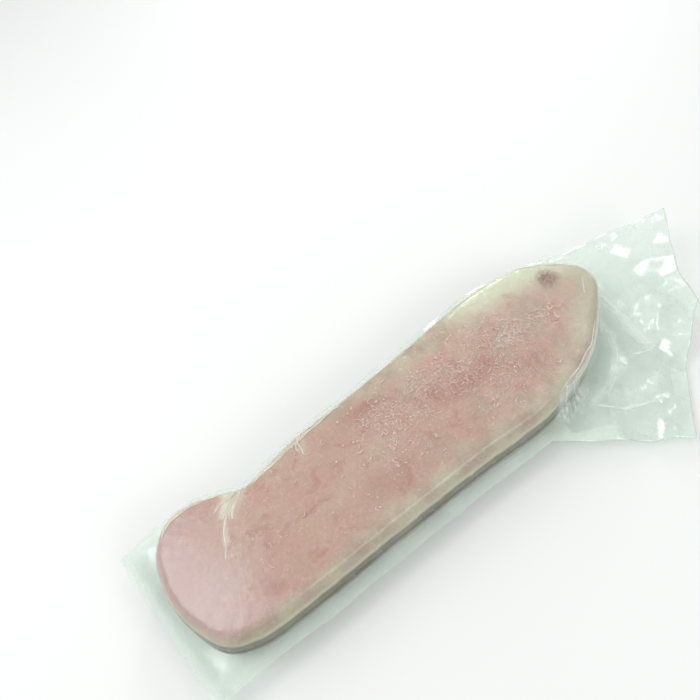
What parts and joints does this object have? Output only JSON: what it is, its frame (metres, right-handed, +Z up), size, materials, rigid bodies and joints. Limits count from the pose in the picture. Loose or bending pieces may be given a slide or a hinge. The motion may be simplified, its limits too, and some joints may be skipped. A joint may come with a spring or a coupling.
{
  "type": "raw tuna loin",
  "caption": "Frozen raw tuna loin, a long flat cut that narrows to a rounded tip, sealed in a close-fitting clear vacuum pouch with a creased loose tail of film.",
  "frame": {"origin": "middle of the flat underside that the loin rests on", "axes": "+X along the loin from its blunt end to its narrow tip, +Y towards its straighter side, +Z up"},
  "size_m": [0.622, 0.251, 0.0549],
  "materials": {
    "tuna_flesh": "frozen raw fish, dull pink with pale beige borders, seen through film",
    "pouch_film": "clear glossy plastic film, wrinkled",
    "ice_frost": "white frost and small ice grains"
  },
  "bodies": {
    "root": {"sealed_loin": "tuna_flesh"}
  },
  "joints": []
}
